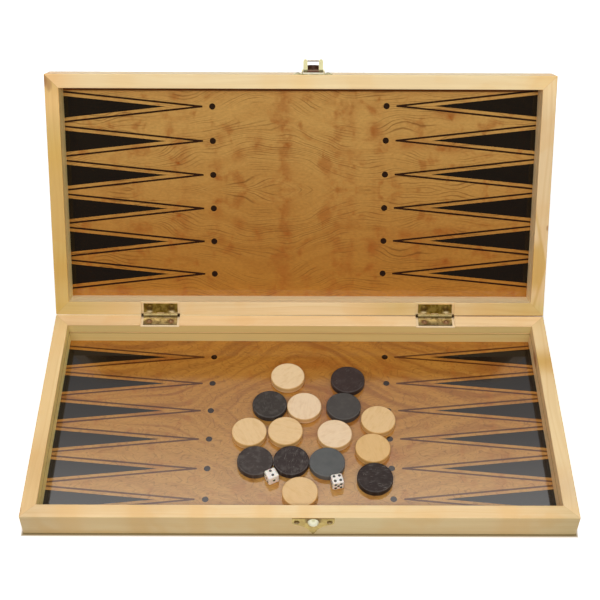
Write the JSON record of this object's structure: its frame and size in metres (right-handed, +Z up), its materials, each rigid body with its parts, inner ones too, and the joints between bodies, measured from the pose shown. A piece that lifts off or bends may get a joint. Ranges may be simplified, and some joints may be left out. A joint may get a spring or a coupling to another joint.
{
  "type": "games compendium box",
  "caption": "Folding wooden games box: two mitred trays on brass hinges with a hasp, a backgammon board inside, a chequered board outside, checkers and dice.",
  "frame": {"origin": "centre of the lower tray's underside", "axes": "+X right along the hinge line, +Y back towards the hinges, +Z up"},
  "size_m": [0.4, 0.3182, 0.1997],
  "materials": {
    "pine": "planed pine, satin lacquer",
    "veneer": "figured veneer under gloss lacquer",
    "black_print": "black print under gloss lacquer",
    "brown_print": "dark brown print under gloss lacquer",
    "brass": "stamped brass, lightly tarnished",
    "steel": "dull steel",
    "pale_wood": "turned beech, satin lacquer",
    "black_wood": "turned and black-stained wood, satin",
    "die_white": "moulded white plastic with black pips"
  },
  "bodies": {
    "lower_tray": {"lower_front_rail": "pine", "lower_back_rail": "pine", "lower_left_rail": "pine", "lower_right_rail": "pine", "lower_panel": "veneer", "lower_points": "black_print", "lower_point_outlines": "black_print", "lower_point_dots": "black_print", "lower_squares": "brown_print", "left_hinge_lower_leaf": "brass", "left_hinge_pin": "steel", "right_hinge_lower_leaf": "brass", "right_hinge_pin": "steel", "hinge_screws_lower": "brass", "catch_plate": "brass", "catch_screws": "brass"},
    "lid": {"lid_front_rail": "pine", "lid_back_rail": "pine", "lid_left_rail": "pine", "lid_right_rail": "pine", "lid_panel": "veneer", "lid_points": "black_print", "lid_point_outlines": "black_print", "lid_point_dots": "black_print", "lid_squares": "brown_print", "left_hinge_lid_leaf": "brass", "right_hinge_lid_leaf": "brass", "hinge_screws_lid": "brass", "latch_plate": "brass", "latch_screws": "brass", "hasp_pin": "steel"},
    "hasp": {"hasp": "brass", "hasp_bar": "steel"},
    "light_checker_1": {"light_checker_1": "pale_wood"},
    "light_checker_2": {"light_checker_2": "pale_wood"},
    "light_checker_3": {"light_checker_3": "pale_wood"},
    "light_checker_4": {"light_checker_4": "pale_wood"},
    "light_checker_5": {"light_checker_5": "pale_wood"},
    "light_checker_6": {"light_checker_6": "pale_wood"},
    "light_checker_7": {"light_checker_7": "pale_wood"},
    "light_checker_8": {"light_checker_8": "pale_wood"},
    "dark_checker_1": {"dark_checker_1": "black_wood"},
    "dark_checker_2": {"dark_checker_2": "black_wood"},
    "dark_checker_3": {"dark_checker_3": "black_wood"},
    "dark_checker_4": {"dark_checker_4": "black_wood"},
    "dark_checker_5": {"dark_checker_5": "black_wood"},
    "dark_checker_6": {"dark_checker_6": "black_wood"},
    "dark_checker_7": {"dark_checker_7": "black_wood"},
    "die_1": {"die_1": "die_white"},
    "die_2": {"die_2": "die_white"}
  },
  "joints": [
    {"name": "lid_hinge", "type": "hinge", "parent": "lower_tray", "child": "lid", "pos_m": [0, 0.09755, 0.02205], "axis": [-1, 0, 0], "range_deg": [-121, 59]},
    {"name": "hasp_swing", "type": "hinge", "parent": "lid", "child": "hasp", "pos_m": [0.0095, 0.20037, 0.19132], "axis": [-1, 0, 0], "range_deg": [-90, 75]},
    {"name": "lift_light_checker_1", "type": "slide", "parent": "lower_tray", "child": "light_checker_1", "axis": [0, 0, 1], "range_m": [0, 0.06]},
    {"name": "lift_light_checker_2", "type": "slide", "parent": "lower_tray", "child": "light_checker_2", "axis": [0, 0, 1], "range_m": [0, 0.06]},
    {"name": "lift_light_checker_3", "type": "slide", "parent": "lower_tray", "child": "light_checker_3", "axis": [0, 0, 1], "range_m": [0, 0.06]},
    {"name": "lift_light_checker_4", "type": "slide", "parent": "lower_tray", "child": "light_checker_4", "axis": [0, 0, 1], "range_m": [0, 0.06]},
    {"name": "lift_light_checker_5", "type": "slide", "parent": "lower_tray", "child": "light_checker_5", "axis": [0, 0, 1], "range_m": [0, 0.06]},
    {"name": "lift_light_checker_6", "type": "slide", "parent": "lower_tray", "child": "light_checker_6", "axis": [0, 0, 1], "range_m": [0, 0.06]},
    {"name": "lift_light_checker_7", "type": "slide", "parent": "lower_tray", "child": "light_checker_7", "axis": [0, 0, 1], "range_m": [0, 0.06]},
    {"name": "lift_light_checker_8", "type": "slide", "parent": "lower_tray", "child": "light_checker_8", "axis": [0, 0, 1], "range_m": [0, 0.06]},
    {"name": "lift_dark_checker_1", "type": "slide", "parent": "lower_tray", "child": "dark_checker_1", "axis": [0, 0, 1], "range_m": [0, 0.06]},
    {"name": "lift_dark_checker_2", "type": "slide", "parent": "lower_tray", "child": "dark_checker_2", "axis": [0, 0, 1], "range_m": [0, 0.06]},
    {"name": "lift_dark_checker_3", "type": "slide", "parent": "lower_tray", "child": "dark_checker_3", "axis": [0, 0, 1], "range_m": [0, 0.06]},
    {"name": "lift_dark_checker_4", "type": "slide", "parent": "lower_tray", "child": "dark_checker_4", "axis": [0, 0, 1], "range_m": [0, 0.06]},
    {"name": "lift_dark_checker_5", "type": "slide", "parent": "lower_tray", "child": "dark_checker_5", "axis": [0, 0, 1], "range_m": [0, 0.06]},
    {"name": "lift_dark_checker_6", "type": "slide", "parent": "lower_tray", "child": "dark_checker_6", "axis": [0, 0, 1], "range_m": [0, 0.06]},
    {"name": "lift_dark_checker_7", "type": "slide", "parent": "lower_tray", "child": "dark_checker_7", "axis": [0, 0, 1], "range_m": [0, 0.06]},
    {"name": "lift_die_1", "type": "slide", "parent": "lower_tray", "child": "die_1", "axis": [0, 0, 1], "range_m": [0, 0.06]},
    {"name": "lift_die_2", "type": "slide", "parent": "lower_tray", "child": "die_2", "axis": [0, 0, 1], "range_m": [0, 0.06]}
  ]
}
